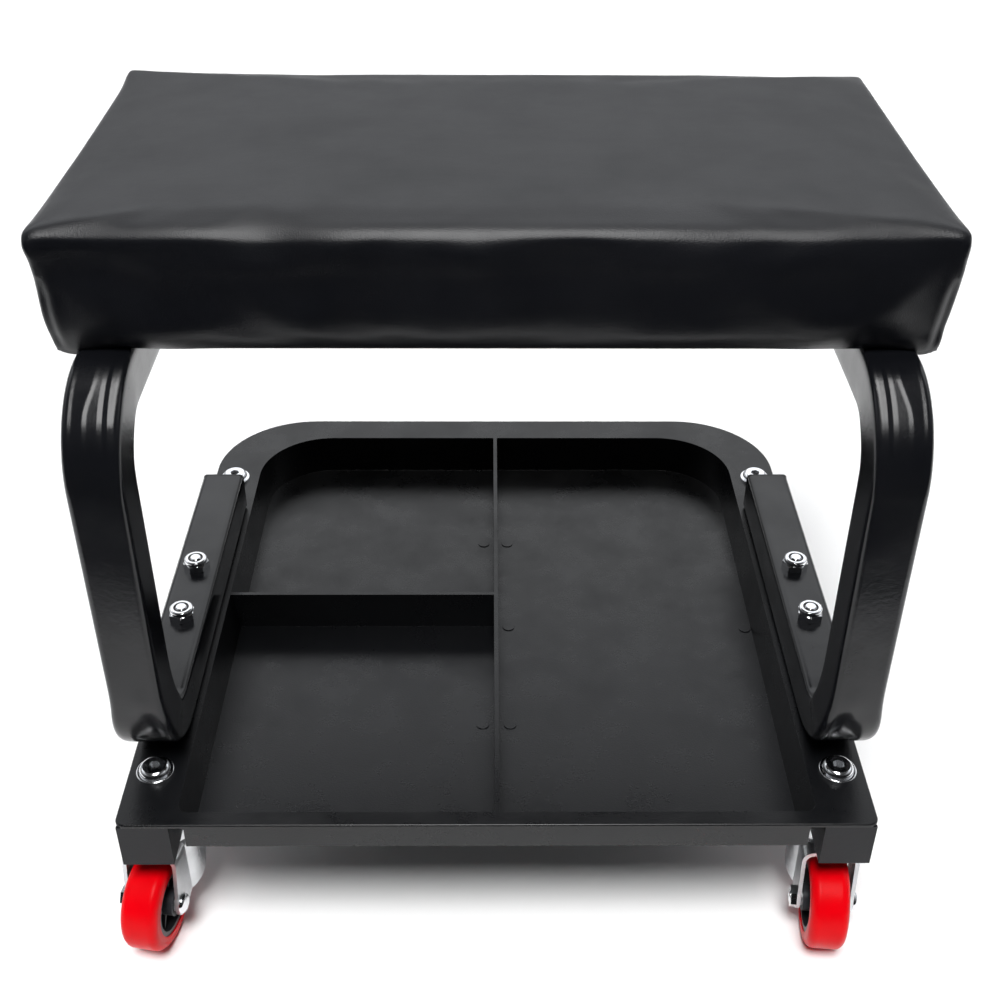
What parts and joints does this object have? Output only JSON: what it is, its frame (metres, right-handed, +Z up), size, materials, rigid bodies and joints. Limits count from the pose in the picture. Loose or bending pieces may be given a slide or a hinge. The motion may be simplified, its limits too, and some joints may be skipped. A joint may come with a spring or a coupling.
{
  "type": "rolling creeper seat",
  "caption": "Low rolling workshop seat: padded rectangular seat on two bent square-tube legs over a divided tool tray, with swivel casters at the corners.",
  "frame": {"origin": "on the floor under the wheels, below the middle of the whole object", "axes": "+X to the right as seen from the front, along the long side of the seat, +Y to the rear, where the tray has its round corners, +Z up"},
  "size_m": [0.3902, 0.3851, 0.366],
  "materials": {
    "vinyl": "soft satin black vinyl with a fine grain",
    "foam": "open-cell foam",
    "plywood": "plywood with a black stain",
    "leg_coat": "semi-gloss black powder coat",
    "rail_coat": "satin black powder coat",
    "tray_plastic": "fine-grained matte black moulding",
    "plug_plastic": "matte black moulding",
    "red_tread": "smooth saturated red tread",
    "hub_plastic": "dark grey moulding",
    "zinc_plate": "bright zinc plate",
    "bright_plate": "bright plated",
    "plain_steel": "plain zinc plated steel"
  },
  "bodies": {
    "frame": {"caster_bolts": "bright_plate", "caster_nuts": "plain_steel", "caster_washers": "bright_plate", "kingpins": "plain_steel", "left_bar_plug": "plug_plastic", "left_base_plug": "plug_plastic", "left_leg": "leg_coat", "left_rail": "rail_coat", "leg_bolts": "bright_plate", "leg_nuts": "bright_plate", "nut_inserts": "plug_plastic", "right_bar_plug": "plug_plastic", "right_base_plug": "plug_plastic", "right_leg": "leg_coat", "right_rail": "rail_coat", "seat_board": "plywood", "seat_bolts": "plain_steel", "seat_cover": "vinyl", "seat_foam": "foam", "seat_washers": "plain_steel", "spacer_sleeves": "plain_steel", "staples": "plain_steel", "swivel_balls": "plain_steel", "tee_nuts": "plain_steel", "top_races": "zinc_plate", "tray": "tray_plastic"},
    "front_left_swivel": {"front_left_axle_bolt": "bright_plate", "front_left_axle_bush": "plain_steel", "front_left_axle_nut": "bright_plate", "front_left_fork": "zinc_plate", "front_left_lower_race": "zinc_plate"},
    "front_left_wheel": {"front_left_hub": "hub_plastic", "front_left_tread": "red_tread"},
    "front_right_swivel": {"front_right_axle_bolt": "bright_plate", "front_right_axle_bush": "plain_steel", "front_right_axle_nut": "bright_plate", "front_right_fork": "zinc_plate", "front_right_lower_race": "zinc_plate"},
    "front_right_wheel": {"front_right_hub": "hub_plastic", "front_right_tread": "red_tread"},
    "rear_left_swivel": {"rear_left_axle_bolt": "bright_plate", "rear_left_axle_bush": "plain_steel", "rear_left_axle_nut": "bright_plate", "rear_left_fork": "zinc_plate", "rear_left_lower_race": "zinc_plate"},
    "rear_left_wheel": {"rear_left_hub": "hub_plastic", "rear_left_tread": "red_tread"},
    "rear_right_swivel": {"rear_right_axle_bolt": "bright_plate", "rear_right_axle_bush": "plain_steel", "rear_right_axle_nut": "bright_plate", "rear_right_fork": "zinc_plate", "rear_right_lower_race": "zinc_plate"},
    "rear_right_wheel": {"rear_right_hub": "hub_plastic", "rear_right_tread": "red_tread"}
  },
  "joints": [
    {"name": "front_left_turn", "type": "hinge", "parent": "frame", "child": "front_left_swivel", "pos_m": [-0.171, -0.1434, 0.0575], "axis": [0, 0, 1], "continuous": true},
    {"name": "front_left_roll", "type": "hinge", "parent": "front_left_swivel", "child": "front_left_wheel", "pos_m": [-0.17537, -0.167, 0.025], "axis": [0.9833, -0.1822, 0], "continuous": true},
    {"name": "front_right_turn", "type": "hinge", "parent": "frame", "child": "front_right_swivel", "pos_m": [0.171, -0.1434, 0.0575], "axis": [0, 0, 1], "continuous": true},
    {"name": "front_right_roll", "type": "hinge", "parent": "front_right_swivel", "child": "front_right_wheel", "pos_m": [0.1687, -0.16729, 0.025], "axis": [0.9954, -0.0958, 0], "continuous": true},
    {"name": "rear_left_turn", "type": "hinge", "parent": "frame", "child": "rear_left_swivel", "pos_m": [-0.171, 0.1201, 0.0575], "axis": [0, 0, 1], "continuous": true},
    {"name": "rear_left_roll", "type": "hinge", "parent": "rear_left_swivel", "child": "rear_left_wheel", "pos_m": [-0.16725, 0.0964, 0.025], "axis": [0.9877, 0.1564, 0], "continuous": true},
    {"name": "rear_right_turn", "type": "hinge", "parent": "frame", "child": "rear_right_swivel", "pos_m": [0.171, 0.1201, 0.0575], "axis": [0, 0, 1], "continuous": true},
    {"name": "rear_right_roll", "type": "hinge", "parent": "rear_right_swivel", "child": "rear_right_wheel", "pos_m": [0.16849, 0.09623, 0.025], "axis": [0.9945, -0.1045, 0], "continuous": true}
  ]
}
